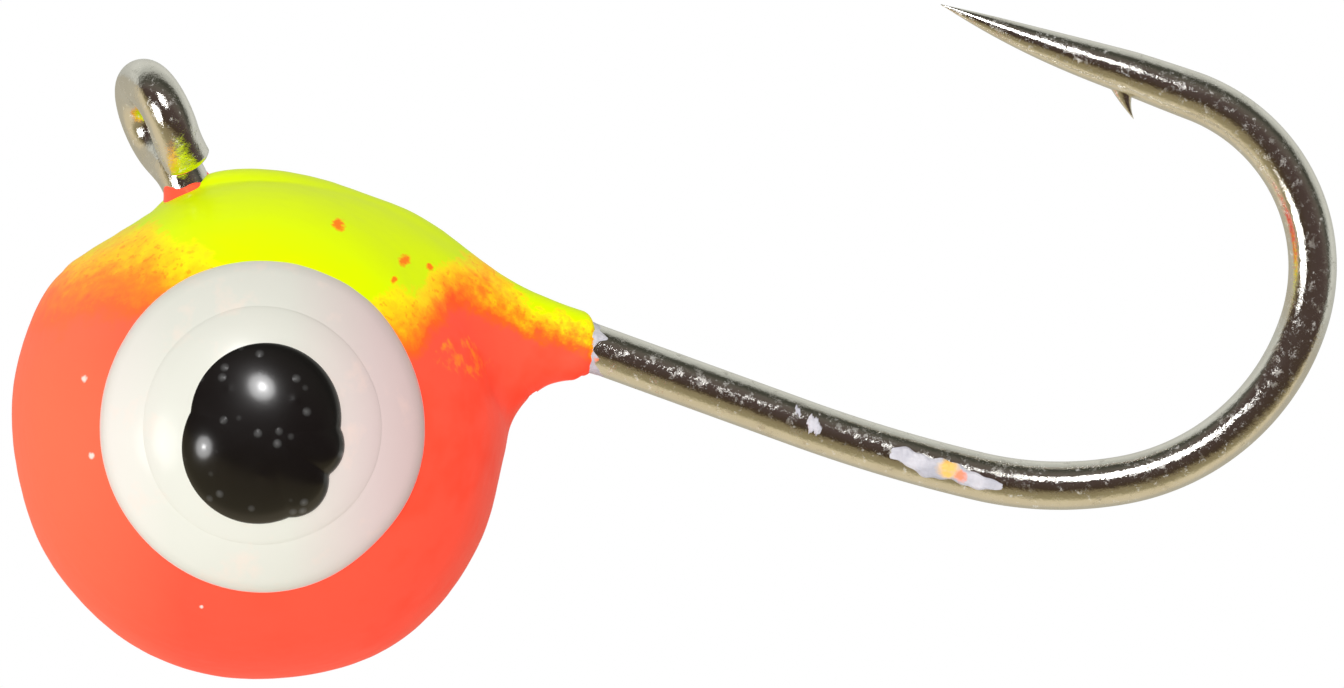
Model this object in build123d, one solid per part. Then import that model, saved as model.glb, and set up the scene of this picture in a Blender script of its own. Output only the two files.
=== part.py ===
from build123d import *
import math
import os

# Jig head: a ball of lead with a short collar, cast onto a nickel-plated hook whose front end is
# bent up into a wire line eye. The casting wears primer and two sprayed colours, and a painted eye
# on each side. Millimetres and degrees. The origin is the centre of the line eye, +X runs along
# the shank towards the bend, +Z points to the side the hook point is on.

# Hook wire
wire_r = 0.275
elbow_r = 0.50                # bend inside the casting, from shank to eye stem
shank_drop = 0.735            # shank axis below the line eye's centre
shank_length = 7.09           # straight wire between the elbow and the bend
bend_arcs = [(18.8, 6.45), (4.05, 23.66), (2.65, 62.07), (2.06, 87.82)]   # (radius, turn)
point_length = 3.05           # straight run that tapers to the tip
point_start_slope = (0.75, 0.15)      # the needle profile's two inner control points,
point_end_slope = (1.80, 0.25)        # as (distance from the tip, radius)

# Line eye
eye_ring_r = 0.475            # centreline radius of the wire ring
eye_land_r = 0.215            # wall radius of the worn land round the ring's hole
stem_rise = 46.5              # angle of the stem above the shank line
eye_twist = 17.0              # turn of the ring about its stem
eye_gap = 0.04                # gap where the wire's end butts back onto the stem
eye_gap_place = 40.0          # angle of that gap round the ring, from the stem

# Barb
barb_from_tip = 2.23          # front root of the barb
barb_root = 0.15
barb_length = 0.27
barb_depth = 0.20
barb_width = 0.16

# Casting and its coats: one entry per surface, from the lead outwards.
ball_offset = 2.27            # ball centre behind the line eye
ball_drop = 2.905             # ball centre below the line eye
nose_length = 1.65            # the collar's rounded nose, forward of its crown
crown_offset = 0.05           # collar crown behind the ball centre
taper_pull = 0.55             # how far the taper keeps the direction it has at each end
collar_slope = 0.03           # slope of the collar where it meets the wire
surfaces = {                  # ball radius, collar crown radius, collar end radius, collar end x
    "lead": (2.700, 0.565, 0.298, 3.05),
    "primer": (2.745, 0.635, 0.315, 3.26),
    "orange": (2.810, 0.705, 0.335, 3.15),
    "chartreuse": (2.865, 0.760, 0.370, 3.12),
}
collar_blend_centre_r = 3.45  # distance of the blend's centre from the ball centre
spray_line_height = 1.39      # chartreuse edge above the ball centre
spray_line_tilt = 11.5        # rise of that edge towards the bend

# Painted eyes
eye_white_r = 1.86
eye_white_surface = 2.905     # distance of its face from the ball centre
eye_white_lift = 0.04         # its centre above the ball centre
eye_inner_r = 1.35
eye_inner_surface = 2.935
pupil_surface = 3.02
pupil_lobes = [               # (along X, above the ball centre, radius)
    (0.02, 0.17, 0.85),
    (0.05, -0.17, 0.86),
    (0.57, 0.05, 0.41),
    (0.52, -0.38, 0.43),
]

# Paint left on the wire
stem_ring_wall = 0.055
stem_ring_from = 0.70         # along the stem, from the line eye's centre
stem_ring_length = 0.25
smear_wall = 0.035
smear_start_turn = 3.4        # how far the wire has turned where the smear starts
smear_end_turn = 3.6          # how far it runs into the bend's second arc
smear_half_angle = 62.0
fleck_x = 8.18
fleck_r = 0.07

ball_centre = Vector(ball_offset, 0, -ball_drop)
stem_direction = Vector(math.cos(math.radians(stem_rise)), 0, -math.sin(math.radians(stem_rise)))


def tangent_run(start, heading, steps):
    """A wire in the XZ plane: each step is a straight length or an arc (radius, turn)."""
    edges, point = [], Vector(*start)
    for step in steps:
        direction = Vector(math.cos(math.radians(heading)), math.sin(math.radians(heading)))
        if isinstance(step, tuple):
            edge = JernArc(point, direction, *step)
            heading += step[1]
        else:
            edge = Line(point, point + direction * step)
        edges.append(edge)
        point = edge @ 1
    return Plane.XZ * Wire(edges)


def elbow_setback():
    """Distance from the corner of stem and shank to each end of the elbow."""
    return elbow_r * math.tan(math.radians(stem_rise / 2))


def elbow_end_x():
    return shank_drop / math.tan(math.radians(stem_rise)) + elbow_setback()


def wire_path():
    """Centreline from the ring's foot through the casting, along the shank and round the bend."""
    foot = stem_direction * eye_ring_r
    corner = shank_drop / math.sin(math.radians(stem_rise))
    stem_length = corner - eye_ring_r - elbow_setback()
    steps = [stem_length, (elbow_r, stem_rise), shank_length, *bend_arcs]
    return tangent_run((foot.X, foot.Z), -stem_rise, steps)


def line_eye():
    """The wire ring, with a cylindrical land round its hole and a gap where the wire ends."""
    upright = Vector(-stem_direction.Z, 0, stem_direction.X)
    twist = math.radians(eye_twist)
    axis = upright * math.cos(twist) + Vector(0, math.sin(twist), 0)
    ring_plane = Plane(origin=(0, 0, 0), x_dir=stem_direction, z_dir=axis)
    ring = Torus(eye_ring_r, wire_r) - Cylinder(eye_land_r, 2 * wire_r)
    gap = Pos(eye_ring_r, 0, 0) * Box(3 * wire_r, eye_gap, 3 * wire_r)
    ring -= Rot(0, 0, eye_gap_place) * gap
    return ring_plane * ring


def point_needle(tip):
    """Ground needle point, along +X from the tip."""
    end = (point_length, wire_r)
    outline = Bezier((0, 0), point_start_slope, point_end_slope, end)
    profile = make_face([outline, Line(end, (point_length, 0)), Line((point_length, 0), (0, 0))])
    return Pos(tip) * revolve(Plane.XZ * profile, Axis.X)


def barb(tip):
    """A small curved spur on the gape side of the point, leaning back towards the bend."""
    front = (barb_from_tip, -0.6 * wire_r)
    spur = (barb_from_tip + barb_length, -wire_r - barb_depth)
    back = (barb_from_tip + barb_root, -0.6 * wire_r)
    hollow = (barb_from_tip + 0.35 * barb_length, -wire_r - 0.25 * barb_depth)
    heel = (barb_from_tip + 0.75 * barb_length, -wire_r - 0.35 * barb_depth)
    outline = [ThreePointArc(front, hollow, spur), ThreePointArc(spur, heel, back), Line(back, front)]
    spur_face = Plane.XZ * make_face(outline)
    return Pos(tip) * extrude(spur_face, barb_width / 2, both=True)


def hook():
    path = wire_path()
    wire = sweep(Plane(origin=path @ 0, z_dir=path % 0) * Circle(wire_r), path)
    tip = path @ 1 - Vector(point_length, 0, 0)
    return wire + point_needle(tip) + barb(tip) + line_eye()


def casting(surface):
    """Ball and collar out to one of the surfaces, blended together on the collar's underside."""
    ball_r, crown_r, end_r, end_x = surfaces[surface]
    crown_x = crown_offset
    pull = taper_pull * (end_x - crown_x)
    nose = EllipticalCenterArc((crown_x, 0), nose_length, crown_r, start_angle=90, arc_size=90)
    taper = Bezier((crown_x, crown_r), (crown_x + pull, crown_r),
                   (end_x - pull, end_r + collar_slope * pull), (end_x, end_r))
    end = Line((end_x, end_r), (end_x, 0))
    axis_line = Line((end_x, 0), (crown_x - nose_length, 0))
    profile = Plane.XZ * make_face([nose, taper, end, axis_line])
    ball = Pos(ball_centre) * Sphere(ball_r)
    collar = Pos(ball_offset, 0, -shank_drop) * revolve(profile, Axis.X)
    body = ball + collar
    seam = new_edges(ball, collar, combined=body)
    return fillet(seam, collar_blend_centre_r - ball_r)


def above_spray_line():
    """The space over the lower edge of the chartreuse coat."""
    size = 6 * surfaces["lead"][0]
    edge = Pos(ball_offset, 0, spray_line_height - ball_drop) * Rot(0, -spray_line_tilt, 0)
    return edge * Pos(0, 0, size / 2) * Box(size, size, size)


def eye_layer(outline, face_r, side):
    """A layer of paint on one side (-1 or +1 along Y): a flat outline carried to a round face."""
    column = extrude(Plane.XZ * outline, -side * face_r)
    return Pos(ball_centre) * (Sphere(face_r) & column)


def eye_outlines():
    """Outlines in the XZ plane, from the ball centre: white disc, inner white layer, pupil."""
    white = Pos(0, eye_white_lift) * Circle(eye_white_r)
    inner = Pos(0, eye_white_lift) * Circle(eye_inner_r)
    pupil = Sketch() + [Pos(x, z) * Circle(r) for x, z, r in pupil_lobes]
    return white, inner, pupil


def painted_eye(side, below):
    """White disc, inner white layer and pupil, each cut clear of the layers under it."""
    white_outline, inner_outline, pupil_outline = eye_outlines()
    white = eye_layer(white_outline, eye_white_surface, side)
    inner = eye_layer(inner_outline, eye_inner_surface, side)
    pupil = eye_layer(pupil_outline, pupil_surface, side)
    return white - below, inner - white, pupil - white - inner


def stem_ring(below):
    """A ring of paint that crept up the stem of the line eye."""
    foot = Plane(origin=stem_direction * stem_ring_from, z_dir=stem_direction)
    sleeve = Cylinder(wire_r + stem_ring_wall, stem_ring_length,
                      align=(Align.CENTER, Align.CENTER, Align.MIN))
    return foot * sleeve - below


def shank_paint(wire):
    """A smear over the near face of the wire where the bend begins, and a small fleck before it."""
    first_r, first_turn = bend_arcs[0]
    second_r = bend_arcs[1][0]
    shank_end = elbow_end_x() + shank_length
    start = (shank_end + first_r * math.sin(math.radians(smear_start_turn)),
             -shank_drop + first_r * (1 - math.cos(math.radians(smear_start_turn))))
    path = tangent_run(start, smear_start_turn,
                       [(first_r, first_turn - smear_start_turn), (second_r, smear_end_turn)])
    reach = 2 * wire_r
    spread = reach * math.tan(math.radians(smear_half_angle))
    section_plane = Plane(origin=path @ 0, x_dir=(0, -1, 0), z_dir=path % 0)
    sector = make_face(Polyline((0, 0), (reach, spread), (reach, -spread), close=True))
    section = (Circle(wire_r + smear_wall) - Circle(wire_r)) & sector
    smear = sweep(section_plane * section, path)
    fleck = Pos(fleck_x, -wire_r, -shank_drop) * Rot(90, 0, 0) * Cylinder(fleck_r, 2 * smear_wall) - wire
    return Compound(children=[smear, *fleck.solids()])


def build():
    """Every node of the jig head, by name."""
    wire = hook()
    lead, primer, orange, chartreuse = (casting(name) for name in surfaces)
    nodes = {
        "hook": wire,
        "lead_core": lead - wire,
        "primer_coat": primer - lead - wire,
        "orange_coat": orange - primer - wire,
        "chartreuse_coat": (chartreuse - orange - wire) & above_spray_line(),
    }
    coats = orange + nodes["chartreuse_coat"]
    for name, side in (("left", -1), ("right", 1)):
        white, inner, pupil = painted_eye(side, coats)
        nodes["eye_white_" + name] = white
        nodes["eye_inner_" + name] = inner
        nodes["pupil_" + name] = pupil
    nodes["stem_paint_ring"] = stem_ring(coats) - wire
    nodes["shank_paint"] = shank_paint(wire)
    return nodes


os.makedirs("parts", exist_ok=True)
for node, shape in build().items():
    export_step(shape, "parts/" + node + ".step")
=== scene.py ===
import bpy
import bmesh
import math
import numpy as np
from mathutils import Matrix, Vector


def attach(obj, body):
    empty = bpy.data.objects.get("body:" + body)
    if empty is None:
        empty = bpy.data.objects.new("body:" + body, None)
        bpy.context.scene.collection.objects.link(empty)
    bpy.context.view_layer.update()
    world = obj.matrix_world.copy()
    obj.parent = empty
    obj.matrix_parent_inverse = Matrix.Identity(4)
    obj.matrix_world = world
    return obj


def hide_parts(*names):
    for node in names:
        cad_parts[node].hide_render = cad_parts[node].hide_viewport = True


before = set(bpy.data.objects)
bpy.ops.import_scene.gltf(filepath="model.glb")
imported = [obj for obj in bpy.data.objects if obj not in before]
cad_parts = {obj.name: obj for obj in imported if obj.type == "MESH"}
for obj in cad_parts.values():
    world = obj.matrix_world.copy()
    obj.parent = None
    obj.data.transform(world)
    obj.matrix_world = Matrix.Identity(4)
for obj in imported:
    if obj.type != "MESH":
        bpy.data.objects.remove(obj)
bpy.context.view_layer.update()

# Every size below is in millimetres in the part's own frame, and goes into meshes times MM.
# The origin is the centre of the line eye, +X along the shank to the bend, +Z the point's side.
MM = 0.001

WIRE_R = 0.275
SHANK_Z = -0.735
ELBOW_R = 0.50                # bend inside the casting, from shank to stem
STEM_RISE = math.radians(46.5)
SHANK_LENGTH = 7.09
# (radius, turn in degrees)
BEND_ARCS = [(18.8, 6.45), (4.05, 23.66), (2.65, 62.07), (2.06, 87.82)]
POINT_LENGTH = 3.05
NEEDLE_TIP_SIDE = (0.75, 0.15)        # the needle profile's two inner control points,
NEEDLE_WIRE_SIDE = (1.80, 0.25)       # as (distance from the tip, radius)
EYE_RING_R = 0.475            # centreline radius of the wire ring
EYE_TWIST = math.radians(17.0)
EYE_TAIL = 0.42               # straight run at the cut end of the ring, down beside the stem
EYE_TAIL_SWING = 0.05         # how far that end stands aside, along the ring's axis

BALL = np.array([2.27, 0.0, -2.905])
AXIS_Z = 2.17                 # shank axis above the ball's centre
# ball radius, collar crown radius, collar end radius, place of the collar's end
ORANGE_R, ORANGE_CROWN, ORANGE_END, ORANGE_END_X = 2.81, 0.725, 0.318, 3.13
PRIMER_R, PRIMER_CROWN, PRIMER_END, PRIMER_END_X = 2.745, 0.66, 0.290, 3.33
NOSE_LENGTH = 1.75
CROWN_X = 0.05
TAPER_FROM, TAPER_TO = 0.35, 2.70
COLLAR_FINE_FROM = 2.5        # the mesh is finer past here
ORANGE_WALL = 0.06
CHARTREUSE_WALL = 0.055
CHARTREUSE_EDGE = 1.39        # height of the chartreuse coat's edge above the ball's centre
CHARTREUSE_EDGE_SLOPE = 0.2036
FILLET_NOSE, FILLET_SIDE, FILLET_UNDER = 0.10, 1.50, 0.76    # between ball and collar

EYE_CENTRE = (0.049, 0.076)   # white disc and inner layer, along X and above the ball's centre
WHITE_R = 1.86
INNER_R = 1.35
BUMP_DISTANCE = 0.0001        # metres

VIEW_ROLL = math.radians(19.92)       # the shank slopes down by this much in the view
VIEW_RIGHT = np.array([math.cos(VIEW_ROLL), 0.0, math.sin(VIEW_ROLL)])
VIEW_UP = np.array([-math.sin(VIEW_ROLL), 0.0, math.cos(VIEW_ROLL)])


# ---------------------------------------------------------------- meshes

def add_piece(name, verts, faces, nodes, slot, material):
    """A smooth mesh piece from vertices in millimetres, riding on the one body."""
    mesh = bpy.data.meshes.new(name)
    mesh.from_pydata((np.asarray(verts) * MM).tolist(), [], [list(f) for f in faces])
    mesh.validate()
    mesh.shade_smooth()
    piece = bpy.data.objects.new(name, mesh)
    bpy.context.collection.objects.link(piece)
    piece.data.materials.append(material)
    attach(piece, "root")
    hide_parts(*nodes)


def join_parts(*parts):
    """One vertex and face list from several."""
    verts, faces, start = [], [], 0
    for part_verts, part_faces in parts:
        verts.append(np.asarray(part_verts, float))
        faces += [[i + start for i in face] for face in part_faces]
        start += len(part_verts)
    return np.vstack(verts), faces


def grid_faces(rows, columns, closed):
    """Quads of a rows x columns grid of vertices, its columns joined round if closed."""
    faces = []
    for i in range(rows - 1):
        for j in range(columns if closed else columns - 1):
            k = (j + 1) % columns
            here, ahead = i * columns, (i + 1) * columns
            faces.append([here + j, here + k, ahead + k, ahead + j])
    return faces


def smooth_step(edge0, edge1, x):
    """0 at edge0 rising smoothly to 1 at edge1."""
    t = np.clip((x - edge0) / (edge1 - edge0), 0.0, 1.0)
    return t * t * (3.0 - 2.0 * t)


def ripple(points, scale, seed):
    """Smooth pseudo-random waves from -1 to 1, the same every run."""
    rng = np.random.default_rng(seed)
    total = np.zeros(len(points))
    for _ in range(12):
        direction = rng.normal(size=3)
        direction /= np.linalg.norm(direction)
        pace = rng.uniform(0.6, 1.6)
        total += np.sin(points @ direction * pace * 2 * math.pi / scale + rng.uniform(0, 6.28))
    return total / 5.0


# ---------------------------------------------------------------- the wire

def run_along(start, heading, steps, spacing):
    """Points and headings of straight lengths and arcs (radius, turn in degrees), in the XZ plane."""
    points, headings = [np.array(start, float)], [heading]
    for step in steps:
        if isinstance(step, tuple):
            radius, turn = step[0], math.radians(step[1])
            count = max(4, round(radius * turn / spacing))
            for _ in range(count):
                chord = 2 * radius * math.sin(turn / count / 2)
                middle = headings[-1] + turn / count / 2
                points.append(points[-1] + chord * np.array([math.cos(middle), math.sin(middle)]))
                headings.append(headings[-1] + turn / count)
        else:
            count = max(1, round(step / spacing))
            for _ in range(count):
                move = np.array([math.cos(headings[-1]), math.sin(headings[-1])])
                points.append(points[-1] + step / count * move)
                headings.append(headings[-1])
    return np.array(points), np.array(headings)


def tube(points, radii, sides, start_normal):
    """A closed tube along points in space, carried without twist, with flat or pointed ends."""
    points = np.asarray(points, float)
    tangents = np.gradient(points, axis=0)
    tangents /= np.linalg.norm(tangents, axis=1)[:, None]
    normal = np.asarray(start_normal, float)
    verts = []
    angles = np.linspace(0, 2 * math.pi, sides, endpoint=False)
    for point, tangent, radius in zip(points, tangents, radii):
        normal = normal - tangent * (normal @ tangent)
        normal /= np.linalg.norm(normal)
        side = np.cross(tangent, normal)
        ring = point + radius * (np.outer(np.cos(angles), normal) + np.outer(np.sin(angles), side))
        verts.append(ring)
    verts = np.vstack(verts)
    faces = grid_faces(len(points), sides, True)
    first, last = len(verts), len(verts) + 1
    verts = np.vstack([verts, points[0], points[-1]])
    tail = (len(points) - 1) * sides
    for j in range(sides):
        k = (j + 1) % sides
        faces.append([first, k, j])
        faces.append([last, tail + j, tail + k])
    return verts, [f[::-1] for f in faces]


def needle_radius(distance):
    """Radius of the point at a distance from its tip: a Bezier curve, solved for the distance."""
    t = np.linspace(0, 1, 200)
    early, late = 3 * (1 - t) ** 2 * t, 3 * (1 - t) * t ** 2
    along = early * NEEDLE_TIP_SIDE[0] + late * NEEDLE_WIRE_SIDE[0] + t ** 3 * POINT_LENGTH
    radius = early * NEEDLE_TIP_SIDE[1] + late * NEEDLE_WIRE_SIDE[1] + t ** 3 * WIRE_R
    return np.interp(distance, along, radius)


def wire_line():
    """Centreline of the wire from the elbow's stem end to the tip, with its radii."""
    setback = ELBOW_R * math.tan(STEM_RISE / 2)
    corner = -SHANK_Z / math.tan(STEM_RISE)
    lead_in = 0.02
    stem = np.array([math.cos(STEM_RISE), -math.sin(STEM_RISE)])
    start = np.array([corner, SHANK_Z]) - stem * (setback + lead_in)
    steps = [lead_in, (ELBOW_R, math.degrees(STEM_RISE)), SHANK_LENGTH, *BEND_ARCS, POINT_LENGTH]
    flat, _ = run_along(start, -STEM_RISE, steps, 0.06)
    steps_out = np.linalg.norm(np.diff(flat, axis=0), axis=1)
    to_tip = np.concatenate([np.cumsum(steps_out[::-1])[::-1], [0.0]])
    radii = np.where(to_tip < POINT_LENGTH, needle_radius(to_tip), WIRE_R)
    radii[-1] = 0.004
    bow = 0.03 * np.sin(math.pi * np.clip(to_tip / 2.3, 0, 1))
    points = np.column_stack([flat[:, 0], np.zeros(len(flat)), flat[:, 1] - bow])
    return points, radii


def ring_axes():
    """Directions of the line eye: along its stem outwards, across to the far limb, and its axis."""
    up = np.array([-math.cos(STEM_RISE), 0.0, math.sin(STEM_RISE)])
    upright = np.array([math.sin(STEM_RISE), 0.0, math.cos(STEM_RISE)])
    axis = upright * math.cos(EYE_TWIST) + np.array([0.0, math.sin(EYE_TWIST), 0.0])
    return up, np.cross(up, axis), axis


def eye_line(start):
    """The stem, swinging to the far side into a ring that ends beside the stem on the near side."""
    up, across, axis = ring_axes()
    join, end = math.radians(62.0), math.radians(292.0)
    angles = np.linspace(join, end, 80)
    ring = EYE_RING_R * (np.outer(np.sin(angles), across) - np.outer(np.cos(angles), up))
    share = np.linspace(0, 1, 16)[1:, None]
    tail = EYE_TAIL * share * (math.cos(end) * across + math.sin(end) * up)
    ring = np.vstack([ring, ring[-1] + tail + EYE_TAIL_SWING * share ** 2 * axis])
    heading = math.cos(join) * across + math.sin(join) * up
    t = np.linspace(0, 1, 24)[:-1, None]
    reach = np.linalg.norm(ring[0] - start)
    swing = ((2 * t ** 3 - 3 * t ** 2 + 1) * start + (t ** 3 - 2 * t ** 2 + t) * up * reach * 1.15
             + (-2 * t ** 3 + 3 * t ** 2) * ring[0] + (t ** 3 - t ** 2) * heading * reach * 1.0)
    return np.vstack([swing, ring])


def barb_mesh(tip):
    """The spur cut on the gape side of the point: a thin curved wedge that ends in a sharp tip."""
    rows, sides = 14, 12
    t = np.linspace(0, 1, rows)
    along = 2.20 + 0.15 * t + 0.15 * t ** 2
    depth = -0.12 - 0.355 * t
    length = 0.19 * (1 - t) ** 1.05 + 0.005
    width = 0.11 * (1 - t) ** 0.8 + 0.004
    angles = np.linspace(0, 2 * math.pi, sides, endpoint=False)
    verts = [tip + np.array([along[i] + length[i] * math.cos(a), width[i] * math.sin(a), depth[i]])
             for i in range(rows) for a in angles]
    faces = grid_faces(rows, sides, True)
    faces.append(list(range(sides))[::-1])
    faces.append([(rows - 1) * sides + j for j in range(sides)])
    return np.array(verts), faces


def make_hook(material):
    """Line eye, stem, elbow, shank, bend and point as one wire, with its barb."""
    points, radii = wire_line()
    eye = eye_line(points[0])
    start = np.vstack([eye[::-1], points[1:]])
    sizes = np.concatenate([np.full(len(eye), WIRE_R), radii[1:]])
    sizes[0] = WIRE_R * 0.90
    wire = tube(start, sizes, 48, (0.3, 1.0, 0.2))
    add_piece("hook", *join_parts(wire, barb_mesh(points[-1])), ["hook"], "nickel_wire", material)


# ---------------------------------------------------------------- the casting and its coats

def collar_profile(x, crown, end, end_x):
    """Radius of the collar along the shank: a soft nose, a crown, then a taper to the wire."""
    t = np.clip((x - TAPER_FROM) / (TAPER_TO - TAPER_FROM), 0, 1)
    taper = crown + (end - crown) * t ** 3 * (10 - 15 * t + 6 * t * t)
    lip = 0.06
    past = np.clip((x - (end_x - lip)) / lip, 0, 1)
    return taper - lip * (1 - np.sqrt(np.maximum(0.0, 1 - past ** 2)))


# direction round the ball in the XZ plane in degrees, width in degrees, height
LUMPS = [(-38.0, 20.0, 0.064), (10.0, 12.0, -0.038), (-90.0, 20.0, 0.032), (-150.0, 16.0, -0.025),
         (-172.0, 14.0, 0.030), (165.0, 14.0, 0.092), (143.0, 15.0, -0.115), (20.0, 8.0, 0.035)]


def ball_field(p, radius):
    """Distance outside the ball, whose outline is slightly uneven."""
    length = np.linalg.norm(p, axis=1)
    direction = np.degrees(np.arctan2(p[:, 2], p[:, 0]))
    flat = (p[:, 0] ** 2 + p[:, 2] ** 2) / np.maximum(length ** 2, 1e-9)
    uneven = np.zeros(len(p))
    for angle, width, height in LUMPS:
        away = (direction - angle + 180.0) % 360.0 - 180.0
        uneven += height * np.exp(-(away / width) ** 2)
    return length - radius - uneven * flat ** 2


def casting_field(p, radius, crown, end, end_x):
    """Zero on the surface of ball and collar, in the ball's frame, with a fillet between the two."""
    x, over = p[:, 0], p[:, 2] - AXIS_Z
    rho = np.maximum(np.hypot(p[:, 1], over), 1e-6)
    end_x = end_x - (0.13 * p[:, 1] + 0.07 * over) / np.maximum(rho, 0.1)
    side = rho - collar_profile(x, crown, end, end_x)
    nose = (np.hypot((x - CROWN_X) / NOSE_LENGTH, rho / crown) - 1) * crown
    collar = np.maximum(np.where(x < CROWN_X, nose, side), x - end_x)
    ball = ball_field(p, radius)
    lean = (p[:, 1] ** 2 + p[:, 2] * over) / (rho * np.maximum(np.linalg.norm(p, axis=1), 1e-6))
    lean = np.clip(lean, -0.90, 0.97)
    under = smooth_step(0.6, -0.6, over) * smooth_step(0.4, 1.8, x)
    past_nose = smooth_step(-0.8, 0.6, x)
    fillet = (FILLET_NOSE + (FILLET_SIDE - FILLET_NOSE) * past_nose
              + (FILLET_UNDER - FILLET_SIDE) * under)
    to_ball, to_collar = fillet - ball, fillet - collar
    off_ball = (to_ball - lean * to_collar) / (1 - lean ** 2)
    off_collar = (to_collar - lean * to_ball) / (1 - lean ** 2)
    reach = np.sqrt(np.maximum(off_ball ** 2 + off_collar ** 2 + 2 * lean * off_ball * off_collar, 0))
    return np.where((off_ball > 0) & (off_collar > 0), fillet - reach, np.minimum(ball, collar))


def gradient(field, p):
    """Slope of the field at each point, by central differences."""
    step = 1e-4
    columns = []
    for axis in range(3):
        shift = np.zeros(3)
        shift[axis] = step
        columns.append((field(p + shift) - field(p - shift)) / (2 * step))
    return np.column_stack(columns)


def settle(field, p, rounds):
    """Moves points onto the field's zero surface."""
    for _ in range(rounds):
        slope = gradient(field, p)
        size = np.maximum((slope ** 2).sum(1), 1e-6)
        move = slope * (field(p) / size)[:, None]
        reach = np.linalg.norm(move, axis=1)
        p = p - move * np.minimum(1.0, 0.15 / np.maximum(reach, 1e-9))[:, None]
    return p


def casting_mesh(size, voxel):
    """A fine, even mesh of the casting's surface, finer still at the collar's end."""
    def field(p):
        return casting_field(p, *size)

    bm = bmesh.new()
    bmesh.ops.create_icosphere(bm, subdivisions=5, radius=size[0])
    bmesh.ops.create_icosphere(bm, subdivisions=4, radius=size[1],
                               matrix=Matrix.Translation((CROWN_X, 0, AXIS_Z)))
    turn = Matrix.Translation((size[3] / 2, 0, AXIS_Z)) @ Matrix.Rotation(math.pi / 2, 4, "Y")
    bmesh.ops.create_cone(bm, cap_ends=True, segments=48, radius1=size[1], radius2=size[2],
                          depth=size[3], matrix=turn)
    seed = bpy.data.meshes.new("seed")
    bm.to_mesh(seed)
    bm.free()
    holder = bpy.data.objects.new("seed", seed)
    bpy.context.collection.objects.link(holder)
    remesh = holder.modifiers.new("even", "REMESH")
    remesh.mode = "VOXEL"
    remesh.voxel_size = voxel
    evaluated = holder.evaluated_get(bpy.context.evaluated_depsgraph_get())
    even = bpy.data.meshes.new_from_object(evaluated)
    bm = bmesh.new()
    bm.from_mesh(even)
    for reach in (1.1, 0.62):
        close = [e for e in bm.edges
                 if all(v.co.x > COLLAR_FINE_FROM and abs(v.co.z - AXIS_Z) < reach
                        and abs(v.co.y) < reach for v in e.verts)]
        bmesh.ops.subdivide_edges(bm, edges=close, cuts=1, use_grid_fill=True)
    bm.verts.ensure_lookup_table()
    bm.verts.index_update()
    p = np.array([v.co[:] for v in bm.verts])
    edges = np.array([[v.index for v in e.verts] for e in bm.edges])
    faces = [[v.index for v in f.verts] for f in bm.faces]
    bm.free()
    bpy.data.objects.remove(holder)
    bpy.data.meshes.remove(even)
    bpy.data.meshes.remove(seed)
    p = settle(field, p, 8)
    count = np.bincount(edges.ravel(), minlength=len(p))[:, None]
    for _ in range(5):
        total = np.zeros_like(p)
        np.add.at(total, edges[:, 0], p[edges[:, 1]])
        np.add.at(total, edges[:, 1], p[edges[:, 0]])
        p = settle(field, 0.5 * p + 0.5 * total / count, 2)
    return settle(field, p, 3), faces, field


def facing(field, p):
    """Unit normals of the field's surface, outwards."""
    slope = gradient(field, p)
    return slope / np.linalg.norm(slope, axis=1)[:, None]


def shell(outer, inner, faces):
    """A closed hollow skin: the outer surface, and the inner one turned to face inwards."""
    return join_parts((outer, faces), (inner, [f[::-1] for f in faces]))


def make_casting_coats(materials):
    """Orange coat over ball and collar, and the chartreuse coat that thins out over it."""
    p, faces, field = casting_mesh((ORANGE_R, ORANGE_CROWN, ORANGE_END, ORANGE_END_X), 0.05)
    normal = facing(field, p)
    texture = 0.004 * ripple(p, 0.9, 3) + 0.0015 * ripple(p, 0.25, 4)
    outer = p + normal * texture[:, None]
    add_piece("orange_coat", *shell(outer + BALL, p - ORANGE_WALL * normal + BALL, faces),
              ["orange_coat"], "orange_paint", materials["orange"])
    height = p[:, 2] - CHARTREUSE_EDGE - CHARTREUSE_EDGE_SLOPE * p[:, 0] + 0.10 * ripple(p, 0.5, 8)
    thick = CHARTREUSE_WALL * smooth_step(-0.15, 0.75, height) - 0.010
    kept = [f for f in faces if min(height[i] for i in f) > -0.30]
    used = sorted({i for f in kept for i in f})
    place = {old: new for new, old in enumerate(used)}
    kept = [[place[i] for i in f] for f in kept]
    top = (outer + normal * thick[:, None])[used] + BALL
    under = (p - 0.030 * normal)[used] + BALL
    sides = {}
    for f in kept:
        for a, b in zip(f, f[1:] + f[:1]):
            sides[(a, b)] = sides.get((a, b), 0) + 1
    rim = [[b, a, a + len(used), b + len(used)] for (a, b) in sides if (b, a) not in sides]
    verts = np.vstack([top, under])
    skin = kept + [[i + len(used) for i in f[::-1]] for f in kept] + rim
    add_piece("chartreuse_coat", verts, skin, ["chartreuse_coat"], "chartreuse_paint",
              materials["chartreuse"])


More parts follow.
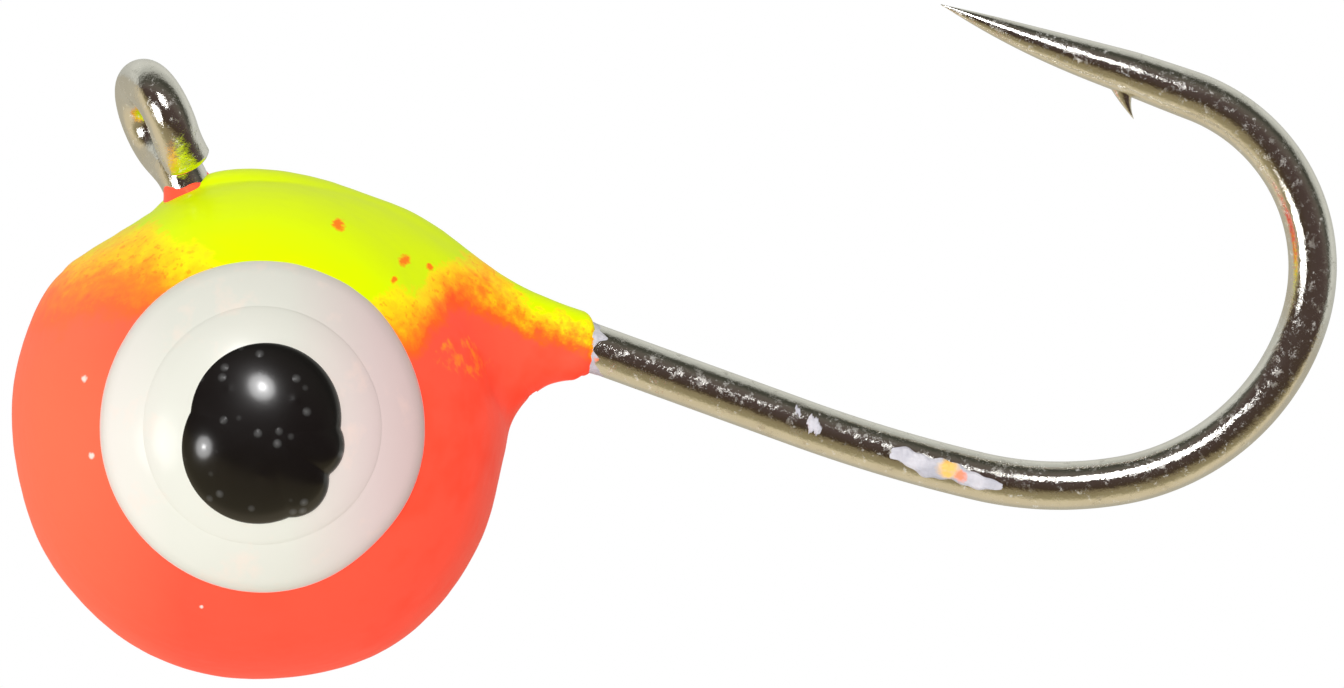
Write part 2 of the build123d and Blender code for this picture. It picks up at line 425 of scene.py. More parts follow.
def make_primer(material):
    """White base coat, seen only where it runs out along the wire past the collar's end."""
    p, faces, field = casting_mesh((PRIMER_R, PRIMER_CROWN, PRIMER_END, 3.0), 0.12)
    rows, sides = 60, 96
    t = np.linspace(0, 1, rows)[:, None]
    angles = np.linspace(0, 2 * math.pi, sides, endpoint=False)[None, :]
    ragged = (0.07 * np.sin(angles * 3 + 1.0) + 0.04 * np.sin(angles * 7 + 2.2)
              + 0.02 * np.sin(angles * 13))
    reach = PRIMER_END_X + ragged - 0.08 * np.cos(angles) - 0.10 * np.sin(angles)
    x = 2.6 + (reach - 2.6) * t
    radius = WIRE_R - 0.012 + 0.036 * (1 - t ** 4.0) * (1 + 0.08 * np.sin(angles * 9 + t * 11))
    verts, inner = (np.stack([x, r * np.cos(angles), AXIS_Z + r * np.sin(angles)], -1).reshape(-1, 3)
                    for r in (radius, np.full_like(radius, WIRE_R - 0.03)))
    tube_faces = grid_faces(rows, sides, True)
    count = len(verts)
    closed = tube_faces + [[i + count for i in f[::-1]] for f in tube_faces]
    for j in range(sides):
        k = (j + 1) % sides
        closed.append([k, j, j + count, k + count])
        last = (rows - 1) * sides
        closed.append([last + j, last + k, last + k + count, last + j + count])
    sleeve = (np.vstack([verts, inner]) + BALL, closed)
    skin = shell(p + BALL, p - 0.04 * facing(field, p) + BALL, faces)
    add_piece("primer_coat", *join_parts(skin, sleeve), ["primer_coat"], "white_primer", material)


# ---------------------------------------------------------------- painted eyes

def polar_layer(outline, height, base, side, rings, sides):
    """A domed dab of paint on the ball, closed underneath. outline(angles) gives its centre and
    reach in the XZ plane from the ball's centre, and height(x, z, share) its height above the base
    radius, where share runs from 0 at its centre to 1 at its outline."""
    angles = np.linspace(0, 2 * math.pi, sides, endpoint=False)
    centre_x, centre_z, reach = outline(angles)
    share = 0.05 + 0.95 * (1 - (1 - np.linspace(0, 1, rings)) ** 1.6)
    x = centre_x + share[:, None] * (reach * np.cos(angles))[None, :]
    z = centre_z + share[:, None] * (reach * np.sin(angles))[None, :]
    x = np.concatenate([[centre_x], x.ravel()])
    z = np.concatenate([[centre_z], z.ravel()])
    share = np.concatenate([[0.0], np.repeat(share, sides)])
    faces = [[0, 1 + (j + 1) % sides, 1 + j] for j in range(sides)]
    faces += [[i + 1 for i in f] for f in grid_faces(rings, sides, True)]
    radius = base + height(x, z, share)
    y = np.sqrt(radius ** 2 - x ** 2 - z ** 2)
    top = np.column_stack([x, side * y, z])
    floor = base - 0.03
    under = np.column_stack([x, side * np.sqrt(floor ** 2 - x ** 2 - z ** 2), z])
    count = len(top)
    edge = 1 + (rings - 1) * sides
    rim = [[edge + (j + 1) % sides, edge + j, edge + j + count, edge + (j + 1) % sides + count]
           for j in range(sides)]
    closed = faces + [[i + count for i in f[::-1]] for f in faces] + rim
    if side < 0:
        closed = [f[::-1] for f in closed]
    return np.vstack([top, under]) + BALL, [f[::-1] for f in closed]


def white_outline(angles):
    """Nearly round, with two slightly flattened stretches that meet in a soft corner."""
    reach = 1.855 - 0.022 * np.cos(2 * (angles - VIEW_ROLL)) + 0.004 * np.cos(5 * angles)
    for middle, width, depth in ((math.radians(-25), 0.30, 0.022), (math.radians(50), 0.35, 0.018)):
        away = np.angle(np.exp(1j * (angles - middle)))
        reach = reach - depth * np.exp(-(away / width) ** 2)
    return *EYE_CENTRE, reach


def inner_outline(angles):
    """The thinner layer under the pupil, nearly round."""
    return *EYE_CENTRE, INNER_R + 0.01 * np.cos(3 * angles)


def rounded_edge(share, reach, soft):
    """0 at the outline rising to 1 over the soft edge's width."""
    inward = np.clip((1 - share) * reach / soft, 0, 1)
    return np.sqrt(1 - (1 - inward) ** 2)


def white_height(x, z, share):
    """A raised, slightly uneven disc with a rounded edge."""
    return 0.085 * rounded_edge(share, WHITE_R, 0.13) + 0.004 * np.sin(3.1 * x + 1.7 * z) * share


def inner_height(x, z, share):
    """A low disc with a soft edge."""
    return 0.03 * rounded_edge(share, INNER_R, 0.30) - 0.004


# along X, above the ball's centre, radius
PUPIL_LOBES = [(0.065, 0.175, 0.85), (0.095, -0.165, 0.86), (0.615, 0.055, 0.41),
               (0.565, -0.375, 0.43)]
# along X, above the ball's centre, reach, height
PUPIL_DABS = [(-0.50, -0.34, 0.60, 0.032), (0.32, 0.50, 0.09, 0.007), (0.35, 0.03, 0.07, 0.003),
              (-0.25, -0.62, 0.08, 0.003), (0.25, -0.45, 0.09, 0.003), (-0.45, 0.35, 0.07, 0.003)]


def pupil_outline(angles):
    """Outline of the four lobes together, from a point inside all of them."""
    centre_x, centre_z = 0.13, 0.0
    reach = np.zeros_like(angles)
    for lobe_x, lobe_z, radius in PUPIL_LOBES:
        dx, dz = lobe_x - centre_x, lobe_z - centre_z
        along = dx * np.cos(angles) + dz * np.sin(angles)
        off = dx ** 2 + dz ** 2 - radius ** 2
        inside = along ** 2 - off
        reach = np.maximum(reach, np.where(inside > 0, along + np.sqrt(np.maximum(inside, 0)), 0))
    return centre_x, centre_z, reach


def pupil_height(x, z, share):
    """A dome that is fuller towards the tail, with one dab at the nose side and a few beads on it."""
    dome = 0.145 * (1 - share ** 2) ** 0.55 * (1 + 0.65 * x)
    for dab_x, dab_z, reach, height in PUPIL_DABS:
        away = (x - dab_x) ** 2 + (z - dab_z) ** 2
        dome = dome + height * np.exp(-away / (0.6 * reach) ** 2) * (1 - share ** 6)
    return dome


def make_eye(side_name, side, materials):
    """White disc, inner layer and pupil on one side, -1 or +1 along Y."""
    lower = ORANGE_R + 0.02
    for kind, outline, height, base, rings, sides, slot, look in (
            ("eye_white_", white_outline, white_height, lower - 0.02, 40, 256,
             "eye_white_paint", "eye_white"),
            ("eye_inner_", inner_outline, inner_height, lower + 0.065, 30, 192,
             "eye_white_paint", "eye_white"),
            ("pupil_", pupil_outline, pupil_height, lower + 0.088, 60, 256,
             "black_paint", "pupil")):
        name = kind + side_name
        layer = polar_layer(outline, height, base, side, rings, sides)
        add_piece(name, *layer, [name], slot, materials[look])


# ---------------------------------------------------------------- paint left on the wire

def make_stem_ring(material):
    """Paint that crept up the stem of the line eye: a low collar that thins out upwards."""
    rows, sides = 24, 64
    up, _, _ = ring_axes()
    side = np.array([0.0, 1.0, 0.0])
    across = np.cross(up, side)
    t = np.linspace(0, 1, rows)[:, None]
    angles = np.linspace(0, 2 * math.pi, sides, endpoint=False)[None, :]
    place = -(1.00 - 0.24 * t + 0.05 * np.sin(angles * 2 + 0.5) * t
              + 0.025 * np.sin(5 * angles) * t)
    radius = WIRE_R - 0.01 + 0.16 * (1 - t) ** 2.2 + 0.03 * (1 - t ** 4)
    verts = (place[..., None] * up + (radius * np.cos(angles))[..., None] * side
             + (radius * np.sin(angles))[..., None] * across).reshape(-1, 3)
    faces = grid_faces(rows, sides, True)
    faces.append(list(range(sides))[::-1])
    faces.append([(rows - 1) * sides + j for j in range(sides)])
    add_piece("stem_paint_ring", verts, [f[::-1] for f in faces], ["stem_paint_ring"],
              "orange_paint", material)


# from X, to X, turn from the near side, half width as an angle, thickness
SHANK_PAINT = [(9.05, 10.46, -0.12, 0.44, 0.018), (8.08, 8.28, 0.10, 0.35, 0.018),
               (7.90, 8.00, 0.45, 0.16, 0.012)]


def make_shank_paint(material):
    """A torn-edged smear on the near side of the wire, with two flecks nearer the collar."""
    points, _ = wire_line()
    points = points[:points[:, 0].argmax()]
    lengths = np.concatenate([[0], np.cumsum(np.linalg.norm(np.diff(points, axis=0), axis=1))])
    parts = []
    rows, sides = 60, 40
    for x_from, x_to, turn, reach, wall in SHANK_PAINT:
        start, end = (np.interp(x, points[:, 0], lengths) for x in (x_from, x_to))
        t = np.linspace(-1, 1, rows)[:, None]
        s = np.linspace(-1, 1, sides)[None, :]
        along = (start + end) / 2 + (end - start) / 2 * t
        line = np.stack([np.interp(along, lengths, points[:, k]) for k in range(3)], -1)
        ahead = np.stack([np.interp(along + 0.02, lengths, points[:, k]) for k in range(3)], -1)
        tangent = (ahead - line) / np.linalg.norm(ahead - line, axis=-1, keepdims=True)
        edge = np.sqrt(np.clip(1 - np.abs(t) ** 2.2, 0, 1)) * (1 - 0.25 * t)
        edge = edge * (1 + 0.16 * np.sin(8 * t + 2 * np.sign(s))
                       + 0.10 * np.sin(21 * t + 4 * np.sign(s)))
        angle = turn - 0.14 * t + 0.05 * np.sin(7 * t) + reach * s * edge
        near = np.array([0.0, -1.0, 0.0])
        up = -np.cross(tangent, near)
        inside = np.clip(1 - np.maximum(np.abs(t) ** 3, np.abs(s) ** 3), 0, 1)
        rough = 0.25 * np.sin(23 * t + 5 * s) + 0.2 * np.sin(11 * t - 9 * s + 2)
        top = WIRE_R - 0.006 + wall * np.clip(inside * 1.6 + 0.5 * rough * inside, 0, 1.3)
        under = np.full_like(top, WIRE_R - 0.02)
        outwards = np.cos(angle)[..., None] * near + np.sin(angle)[..., None] * up
        skins = [(line + r[..., None] * outwards).reshape(-1, 3) for r in (top, under)]
        count = rows * sides
        faces = grid_faces(rows, sides, False)
        closed = faces + [[i + count for i in f[::-1]] for f in faces]
        loop = ([j for j in range(sides)] + [i * sides + sides - 1 for i in range(1, rows)]
                + [(rows - 1) * sides + j for j in range(sides - 2, -1, -1)]
                + [i * sides for i in range(rows - 2, 0, -1)])
        closed += [[b, a, a + count, b + count] for a, b in zip(loop, loop[1:] + loop[:1])]
        parts.append((np.vstack(skins), closed))
    add_piece("shank_paint", *join_parts(*parts), ["shank_paint"], "white_primer", material)


# ---------------------------------------------------------------- materials

SHADER_INPUTS = {"colour": "Base Color", "metallic": "Metallic", "roughness": "Roughness",
                 "specular": "Specular IOR Level", "coat": "Coat Weight",
                 "coat_roughness": "Coat Roughness", "glow": "Emission Color",
                 "glow_strength": "Emission Strength", "normal": "Normal"}


def add_node(tree, kind, inputs=None, **settings):
    """A node with its settings, each input given as a value or as the socket that feeds it."""
    node = tree.nodes.new(kind)
    for key, value in settings.items():
        setattr(node, key, value)
    for key, value in (inputs or {}).items():
        if isinstance(value, bpy.types.NodeSocket):
            tree.links.new(value, node.inputs[key])
        else:
            node.inputs[key].default_value = value
    return node


def set_stops(ramp, stops):
    """Fills a colour ramp from (place, grey or colour)."""
    while len(ramp.elements) < len(stops):
        ramp.elements.new(0.5)
    for element, (place, colour) in zip(ramp.elements, stops):
        element.position = place
        element.color = (*colour, 1) if isinstance(colour, tuple) else (colour, colour, colour, 1)


class Nodes:
    """A short way to build a material's nodes."""

    def __init__(self, name):
        self.material = bpy.data.materials.new(name)
        self.material.use_nodes = True
        self.tree = self.material.node_tree
        self.shader = self.tree.nodes["Principled BSDF"]

    def add(self, kind, inputs=None, **settings):
        return add_node(self.tree, kind, inputs, **settings)

    def math(self, operation, a, b=None, clamp=False):
        inputs = {0: a} if b is None else {0: a, 1: b}
        return self.add("ShaderNodeMath", inputs, operation=operation, use_clamp=clamp).outputs[0]

    def span(self, value, low, high, at_low, at_high, **settings):
        """The value carried from low..high to at_low..at_high, held at both ends."""
        inputs = {0: value, 1: low, 2: high, 3: at_low, 4: at_high}
        return self.add("ShaderNodeMapRange", inputs, **settings).outputs[0]

    def ramp(self, factor, stops):
        node = self.add("ShaderNodeValToRGB", {0: factor})
        set_stops(node.color_ramp, stops)
        return node.outputs[0]

    def mix(self, factor, a, b):
        a, b = ((*value, 1) if isinstance(value, tuple) else value for value in (a, b))
        return self.add("ShaderNodeMix", {0: factor, 6: a, 7: b}, data_type="RGBA").outputs[2]

    def noise(self, vector, scale, detail=2.0, roughness=0.5):
        return self.add("ShaderNodeTexNoise", {"Vector": vector, "Scale": scale, "Detail": detail,
                                                "Roughness": roughness}).outputs[0]

    def place(self):
        """Position in millimetres in the ball's own frame."""
        position = self.add("ShaderNodeTexCoord").outputs["Object"]
        scaled = self.add("ShaderNodeVectorMath", {0: position, 1: (1 / MM,) * 3},
                          operation="MULTIPLY").outputs[0]
        return self.add("ShaderNodeVectorMath", {0: scaled, 1: tuple(BALL)},
                        operation="SUBTRACT").outputs[0]

    def dot(self, vector, direction):
        return self.add("ShaderNodeVectorMath", {0: vector, 1: tuple(direction)},
                        operation="DOT_PRODUCT").outputs["Value"]

    def set(self, **values):
        """Sets or links the shader's inputs, where a colour is three numbers."""
        for key, value in values.items():
            socket = self.shader.inputs[SHADER_INPUTS[key]]
            if isinstance(value, bpy.types.NodeSocket):
                self.tree.links.new(value, socket)
            else:
                socket.default_value = (*value, 1) if isinstance(value, tuple) else value

    def bump(self, height, strength):
        return self.add("ShaderNodeBump", {"Height": height, "Strength": strength,
                                           "Distance": BUMP_DISTANCE}).outputs[0]


ORANGE = (1.0, 0.083, 0.045)
# Painted light: the lighter orange of the ball's left side, where the light falls.
ORANGE_LIT_SIDE = (1.0, 0.17, 0.085)
# Deeper orange, for random blotches and for painted shade on the right side.
ORANGE_DEEP_SHADE = (1.0, 0.050, 0.018)
ORANGE_YELLOW = (1.0, 0.24, 0.010)
AMBER = (1.0, 0.50, 0.008)
YELLOW = (0.86, 0.66, 0.008)
CHARTREUSE = (0.62, 0.78, 0.0)
SPECK = (0.80, 0.13, 0.008)
DROP = (0.95, 0.12, 0.005)
THIN = (1.0, 0.33, 0.010)
# Pale pinkish colour of a few small spots.
PALE_DOT = (1.0, 0.72, 0.65)

# Sprayed edge between the colours: along the view's right, height above the ball's centre
SPRAY_EDGE = [(-3.0, 1.62), (-2.0, 1.68), (-1.5, 1.80), (-0.9, 1.70), (-0.2, 1.35), (1.3, 1.05),
              (1.75, 1.16), (2.1, 1.54), (2.4, 1.66), (2.8, 1.42), (3.3, 1.16), (4.0, 0.98)]
SPRAY_FROM, SPRAY_SPAN, SPRAY_TALL = -3.0, 7.0, 2.0     # what the edge's curve covers
# Drops, specks and thin places: along the view's right, up, radius
ORANGE_DROPS = [(0.92, 2.32, 0.060), (1.66, 1.93, 0.055), (1.95, 1.85, 0.035), (1.55, 1.70, 0.030)]
PALE_SPECKS = [(-1.95, 0.59, 0.035), (-1.85, -0.28, 0.030), (-0.62, -1.98, 0.020)]
THIN_PLACES = [(2.25, 0.86, 0.14), (2.42, 0.80, 0.14)]


def spray_height(n, place):
    """Height above the middle of the sprayed edge, and places along the view's right and up."""
    right = n.dot(place, VIEW_RIGHT)
    up = n.dot(place, VIEW_UP)
    share = n.math("MULTIPLY", n.math("ADD", right, -SPRAY_FROM), 1 / SPRAY_SPAN)
    curve = n.add("ShaderNodeFloatCurve", {"Value": share})
    line = curve.mapping.curves[0]
    while len(line.points) < len(SPRAY_EDGE):
        line.points.new(0.5, 0.5)
    for point, (x, y) in zip(line.points, SPRAY_EDGE):
        point.location = ((x - SPRAY_FROM) / SPRAY_SPAN, y / SPRAY_TALL)
    curve.mapping.update()
    edge = n.math("MULTIPLY", curve.outputs[0], SPRAY_TALL)
    return n.math("SUBTRACT", up, edge), right, up


def spots(n, right, up, drops, ragged):
    """1 inside any of the round drops (along the view's right, up, radius), with a ragged edge."""
    total = None
    for drop_right, drop_up, reach in drops:
        across = n.math("POWER", n.math("SUBTRACT", right, drop_right), 2.0)
        along = n.math("POWER", n.math("SUBTRACT", up, drop_up), 2.0)
        away = n.math("SQRT", n.math("ADD", across, along))
        away = n.math("ADD", away, n.math("MULTIPLY", ragged, reach * 2.5))
        inside = n.span(away, reach * 1.5, reach * 0.5, 0.0, 1.0, interpolation_type="SMOOTHSTEP")
        total = inside if total is None else n.math("MAXIMUM", total, inside)
    return total


def sprayed_paint(name):
    """Fluorescent orange-red below, chartreuse above, with a soft, speckled sprayed edge between. Painted
    light and shade: the orange is lighter on the left and deeper on the right, and a painted glow
    flattens the shading.
    """
    n = Nodes(name)
    place = n.place()
    height, right, up = spray_height(n, place)
    near_side = n.math("LESS_THAN", n.dot(place, (0.0, 1.0, 0.0)), 0.0)
    wander = n.math("MULTIPLY", n.math("SUBTRACT", n.noise(place, 1.7, 3.0), 0.5), 0.55)
    soft = n.span(right, 1.2, 3.2, 0.58, 0.22)
    grain = n.math("MULTIPLY", n.math("SUBTRACT", n.noise(place, 6.0, 5.0, 0.65), 0.5), 0.55)
    height = n.math("ADD", height, n.math("ADD", wander, grain))
    level = n.math("ADD", n.math("DIVIDE", height, n.math("MULTIPLY", soft, 2.0)), 0.5, clamp=True)
    colour = n.ramp(level, [(0.0, ORANGE), (0.24, (1.0, 0.11, 0.015)), (0.44, ORANGE_YELLOW),
                            (0.64, AMBER), (0.84, YELLOW), (1.0, CHARTREUSE)])
    band = n.ramp(level, [(0.25, 0.0), (0.5, 1.0), (0.75, 0.8), (0.96, 0.0)])
    specks = n.ramp(n.noise(place, 15.0, 2.0, 0.5), [(0.60, 0.0), (0.67, 1.0)])
    colour = n.mix(n.math("MULTIPLY", n.math("MULTIPLY", band, specks), 0.5), colour, SPECK)
    ragged = n.math("SUBTRACT", n.noise(place, 11.0, 3.0), 0.5)
    drops = n.math("MULTIPLY", spots(n, right, up, ORANGE_DROPS, ragged), near_side)
    colour = n.mix(n.math("MULTIPLY", drops, 0.9), colour, DROP)
    thin = spots(n, right, up, THIN_PLACES, ragged)
    flecks = n.ramp(n.noise(place, 4.0, 3.0, 0.6), [(0.44, 0.0), (0.62, 1.0)])
    thin = n.math("MULTIPLY", n.math("MULTIPLY", thin, flecks), near_side)
    colour = n.mix(n.math("MULTIPLY", thin, 0.75), colour, THIN)
    # Deeper orange in random blotches, made stronger towards the right as painted shade.
    deep = n.ramp(n.noise(place, 1.3, 3.0), [(0.45, 0.0), (0.65, 1.0)])
    shade_to_right = n.span(right, 0.5, 3.2, 0.10, 0.85)
    below = n.math("SUBTRACT", 1.0, level, clamp=True)
    colour = n.mix(n.math("MULTIPLY", n.math("MULTIPLY", deep, shade_to_right), below), colour, ORANGE_DEEP_SHADE)
    # Painted light: the orange turns lighter towards the left, where the light falls.
    pale = n.span(right, -2.7, -0.8, 0.9, 0.0)
    colour = n.mix(n.math("MULTIPLY", pale, below), colour, ORANGE_LIT_SIDE)
    # A few small pale pinkish spots on the near side.
    pale_dots = n.math("MULTIPLY", spots(n, right, up, PALE_SPECKS, ragged), near_side)
    colour = n.mix(n.math("MULTIPLY", pale_dots, 0.8), colour, PALE_DOT)
    bump = n.bump(n.noise(place, 5.0, 3.0, 0.5), 0.04)
    # Painted glow: emission in the paint's own colour, standing in for its fluorescence and flattening
    # the shading.
    n.set(colour=colour, specular=0.05, roughness=0.38, coat=0.05, coat_roughness=0.10, glow=colour,
          glow_strength=0.30, normal=bump)
    return n.material


def stem_paint():
    """The orange coat where it ran up the stem, with pale patches painted on as highlights, and a painted
    glow.
    """
    n = Nodes("stem_paint")
    place = n.place()
    # Painted highlights: pale patches from noise.
    painted_highlight = n.ramp(n.noise(place, 6.0, 3.0), [(0.60, 0.0), (0.72, 1.0)])
    colour = n.mix(n.math("MULTIPLY", painted_highlight, 0.5), ORANGE, (1.0, 0.45, 0.22))
    # Painted glow: emission in the paint's own colour.
    n.set(colour=colour, specular=0.4, roughness=0.30, coat=0.3, coat_roughness=0.12, glow=colour,
          glow_strength=0.25)
    return n.material


def eye_white_paint():
    """Off-white with faint warm smudges and a glossy skin, carrying painted shade: greyer and pinker
    towards the tail and darker towards the top, and a faint painted glow.
    """
    n = Nodes("eye_white_paint")
    place = n.place()
    right = n.dot(place, VIEW_RIGHT)
    # Painted shade: bright towards the nose, greyer and pinker towards the tail.
    tone = n.ramp(n.math("MULTIPLY", n.math("ADD", right, 1.9), 1 / 3.8),
                  [(0.0, (0.84, 0.79, 0.745)), (0.25, (0.705, 0.71, 0.64)),
                   (0.60, (0.685, 0.685, 0.615)), (0.85, (0.70, 0.57, 0.555)), (1.0, (0.69, 0.51, 0.50))])
    # Painted shade: darker towards the top.
    painted_shade_top = n.span(n.dot(place, VIEW_UP), -1.2, 1.2, 0.0, 0.13)
    tone = n.mix(painted_shade_top, tone, (0.0, 0.0, 0.0))
    smudge = n.ramp(n.noise(place, 1.9, 4.0, 0.6), [(0.56, 0.0), (0.70, 1.0)])
    tone = n.mix(n.math("MULTIPLY", smudge, 0.20), tone, (0.95, 0.66, 0.55))
    # Painted glow: a weak emission in the paint's own colour.
    n.set(colour=tone, specular=0.35, roughness=0.30, coat=0.35, coat_roughness=0.15, glow=tone,
          glow_strength=0.10, normal=n.bump(n.noise(place, 2.2, 2.0), 0.06))
    return n.material


def pupil_paint():
    """Black with tiny beads in its surface, each with a grey dot painted on as its glint."""
    n = Nodes("black_paint")
    place = n.place()
    dots = n.add("ShaderNodeTexVoronoi", {"Vector": place, "Scale": 4.2}).outputs["Distance"]
    # Painted glints: grey dots at the beads' centres, over near-black paint.
    pale_dots = n.ramp(dots, [(0.0, (0.10, 0.10, 0.10)), (0.12, (0.05, 0.05, 0.05)),
                         (0.25, (0.006, 0.005, 0.005)), (1.0, (0.005, 0.004, 0.004))])
    beads = n.ramp(dots, [(0.0, 1.0), (0.20, 0.0)])
    n.set(colour=pale_dots, specular=0.25, roughness=0.30, coat=1.0, coat_roughness=0.14,
          normal=n.bump(beads, 0.20))
    return n.material


def nickel_plate():
    """Warm bright plating with rough pits, dull specks, faint cloudiness and a wavy surface."""
    n = Nodes("nickel_wire")
    place = n.place()
    pits = n.ramp(n.noise(place, 7.0, 8.0, 0.82), [(0.53, 0.0), (0.63, 1.0)])
    specks = n.ramp(n.noise(place, 11.0, 6.0, 0.75), [(0.59, 0.0), (0.65, 1.0)])
    bright = n.math("SUBTRACT", 1.0, n.math("MULTIPLY", specks, 0.35))
    tone = n.ramp(n.noise(place, 2.5, 3.0), [(0.3, (0.84, 0.82, 0.77)), (0.7, (0.90, 0.89, 0.85))])
    cloud = n.math("MULTIPLY", n.noise(place, 3.5, 4.0), 0.08)
    rough = n.math("ADD", n.math("MULTIPLY", pits, 0.45), n.math("ADD", cloud, 0.05))
    wavy = n.math("ADD", n.noise(place, 4.0, 6.0, 0.7), n.math("MULTIPLY", pits, -0.03))
    n.set(colour=tone, metallic=bright, roughness=rough, normal=n.bump(wavy, 0.12))
    return n.material


def primer_paint():
    """Lilac-white paint, with orange and yellow stains at three places."""
    n = Nodes("white_primer")
    place = n.place()
    tone = n.ramp(n.noise(place, 4.0, 3.0), [(0.35, (0.44, 0.44, 0.50)), (0.65, (0.62, 0.61, 0.66))])
    ragged = n.math("MULTIPLY", n.math("SUBTRACT", n.noise(place, 12.0, 2.0), 0.5), 0.16)
    for centre, reach, stain in (((3.39, -0.25, 2.06), 0.05, (0.95, 0.20, 0.03)),
                                 ((7.50, -0.28, 2.26), 0.10, (1.0, 0.55, 0.06)),
                                 ((7.66, -0.28, 2.22), 0.05, (1.0, 0.25, 0.10))):
        away = n.add("ShaderNodeVectorMath", {0: place, 1: centre},
                     operation="DISTANCE").outputs["Value"]
        drop = n.span(n.math("ADD", away, ragged), reach * 1.5, reach * 0.6, 0.0, 0.85)
        tone = n.mix(drop, tone, stain)
    n.set(colour=tone, roughness=0.45, normal=n.bump(n.noise(place, 12.0, 3.0), 0.3))
    return n.material


def cast_lead():
    """Dull grey casting, hidden under the coats."""
    n = Nodes("lead")
    place = n.place()
    tone = n.ramp(n.noise(place, 2.0, 4.0), [(0.3, (0.16, 0.165, 0.175)), (0.7, (0.30, 0.31, 0.33))])
    n.set(colour=tone, metallic=0.8, roughness=0.55, normal=n.bump(n.noise(place, 8.0, 4.0), 0.3))
    return n.material


# ---------------------------------------------------------------- light, floor, camera

def make_floor():
    """A pale disc well below the object, which the plating doesn't mirror."""
    bm = bmesh.new()
    bmesh.ops.create_circle(bm, cap_ends=True, segments=96, radius=0.05)
    mesh = bpy.data.meshes.new("floor")
    bm.to_mesh(mesh)
    bm.free()
    floor = bpy.data.objects.new("floor", mesh)
    bpy.context.collection.objects.link(floor)
    floor.location = (0.004, 0.0, -0.014)
    n = Nodes("pale_floor")
    n.set(colour=(0.92, 0.92, 0.91), roughness=0.6, glow=(1.0, 1.0, 0.98), glow_strength=0.24)
    mesh.materials.append(n.material)
    floor.visible_glossy = False


def make_world():
    """White where the camera looks. What the plating mirrors goes round the shank's direction: dark
    towards the viewer, warm and pale from below, pale from behind."""
    world = bpy.data.worlds.new("studio")
    bpy.context.scene.world = world
    world.use_nodes = True
    tree = world.node_tree
    background = tree.nodes["Background"]
    coordinates = tree.nodes.new("ShaderNodeTexCoord")

    def along(direction):
        return add_node(tree, "ShaderNodeVectorMath",
                        {0: coordinates.outputs["Generated"], 1: tuple(direction)},
                        operation="DOT_PRODUCT").outputs["Value"]

    angle = add_node(tree, "ShaderNodeMath", {0: along((0, 0, 1)), 1: along((0, -1, 0))},
                     operation="ARCTAN2").outputs[0]
    share = add_node(tree, "ShaderNodeMath", {0: angle, 1: 1 / (2 * math.pi)},
                     operation="MULTIPLY").outputs[0]
    share = add_node(tree, "ShaderNodeMath", {0: share, 1: 0.5}, operation="ADD").outputs[0]
    ramp = add_node(tree, "ShaderNodeValToRGB", {0: share})
    # degrees from the viewer's side upwards, colour
    stops = [(-180, (0.46, 0.43, 0.35)), (-134, (0.50, 0.46, 0.36)), (-116, (0.66, 0.57, 0.40)),
             (-76, (0.68, 0.58, 0.38)), (-64, (0.33, 0.28, 0.155)), (-33, (0.25, 0.20, 0.11)),
             (-23, (0.058, 0.038, 0.021)), (0, (0.070, 0.048, 0.040)), (22, (0.076, 0.052, 0.046)),
             (40, (0.115, 0.092, 0.078)), (60, (0.12, 0.11, 0.090)), (72, (0.055, 0.055, 0.042)),
             (90, (0.070, 0.070, 0.055)), (98, (0.44, 0.44, 0.40)), (112, (0.52, 0.53, 0.48)),
             (135, (0.68, 0.68, 0.62)), (180, (0.50, 0.50, 0.45))]
    set_stops(ramp.color_ramp, [(degrees / 360 + 0.5, colour) for degrees, colour in stops])
    seen = add_node(tree, "ShaderNodeLightPath").outputs["Is Camera Ray"]
    mixed = add_node(tree, "ShaderNodeMix", {0: seen, 6: ramp.outputs[0], 7: (1.0, 1.0, 1.0, 1)},
                     data_type="RGBA")
    tree.links.new(mixed.outputs[2], background.inputs[0])
    background.inputs[1].default_value = 1.0


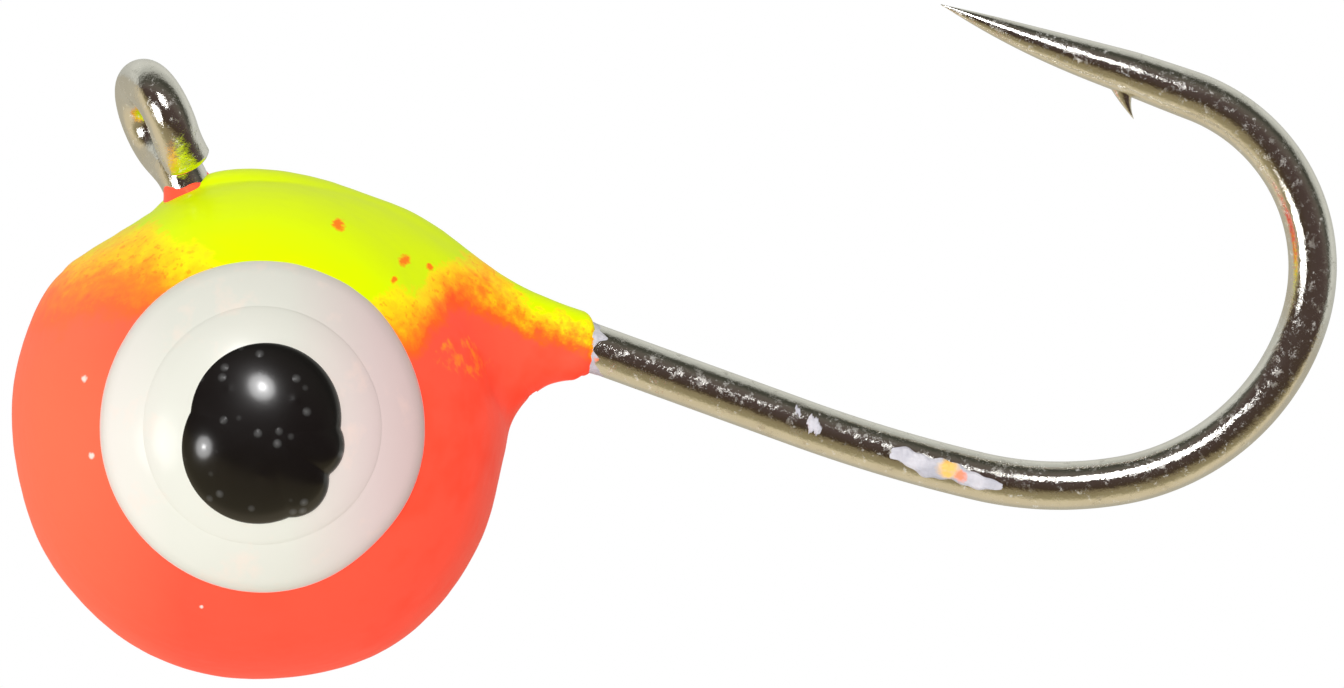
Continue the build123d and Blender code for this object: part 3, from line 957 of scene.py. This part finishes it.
def add_light(name, place, power, size, tall=None, glossy=True):
    """A soft light aimed at the ball, at a place along the view's right, up and to the viewer, in
    metres. With tall it is an ellipse, and without glossy it leaves no highlight."""
    centre = BALL * MM
    right, up, near = place
    position = (Vector(centre) + Vector(VIEW_RIGHT) * right + Vector(VIEW_UP) * up
                + Vector((0, -near, 0)))
    data = bpy.data.lights.new(name, "AREA")
    data.energy = power
    data.size = size
    if tall:
        data.shape = "ELLIPSE"
        data.size_y = tall
    light = bpy.data.objects.new(name, data)
    bpy.context.collection.objects.link(light)
    light.location = position
    light.rotation_euler = (Vector(centre) - position).to_track_quat("-Z", "Y").to_euler()
    light.visible_glossy = glossy


def make_camera():
    """A long lens square to the near side, rolled so that the shank slopes."""
    width = 0.01527               # metres across the frame
    distance = 0.28
    centre = Vector((6.345, 0.0, -0.388)) * MM
    data = bpy.data.cameras.new("camera")
    data.sensor_width = 36.0
    data.lens = data.sensor_width * distance / width
    data.clip_start = 0.01
    data.clip_end = 10.0
    camera = bpy.data.objects.new("camera", data)
    bpy.context.collection.objects.link(camera)
    turn = Matrix((VIEW_RIGHT, VIEW_UP, (0.0, -1.0, 0.0))).transposed()
    camera.matrix_world = Matrix.Translation(centre + Vector((0, -distance, 0))) @ turn.to_4x4()
    bpy.context.scene.camera = camera


def main():
    """The whole object, its surroundings and the camera."""
    materials = {"orange": sprayed_paint("orange_paint"),
                 "chartreuse": sprayed_paint("chartreuse_paint"),
                 "eye_white": eye_white_paint(), "pupil": pupil_paint()}
    primer = primer_paint()
    stem = stem_paint()
    make_camera()
    make_hook(nickel_plate())
    make_casting_coats(materials)
    make_primer(primer)
    for name, side in (("left", -1), ("right", 1)):
        make_eye(name, side, materials)
    make_stem_ring(stem)
    make_shank_paint(primer)
    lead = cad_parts["lead_core"]
    lead.data.materials.clear()
    lead.data.materials.append(cast_lead())
    make_floor()
    make_world()
    add_light("fill_top", (0.08, 0.25, 0.15), 0.18, 0.20, glossy=False)
    add_light("fill_front", (-0.03, -0.03, 0.35), 1.00, 0.20, glossy=False)
    add_light("fill_low", (-0.08, -0.07, 0.28), 0.36, 0.10, glossy=False)
    add_light("key", (-0.036, 0.156, 0.255), 0.19, 0.085, 0.085)
    add_light("key_core", (-0.034, 0.154, 0.252), 0.055, 0.024, 0.024)
    add_light("side", (-0.213, -0.030, 0.206), 0.24, 0.11, 0.12)
    add_light("side_core", (-0.211, -0.030, 0.204), 0.045, 0.024, 0.024)
    bpy.context.scene.view_settings.view_transform = "Standard"


main()
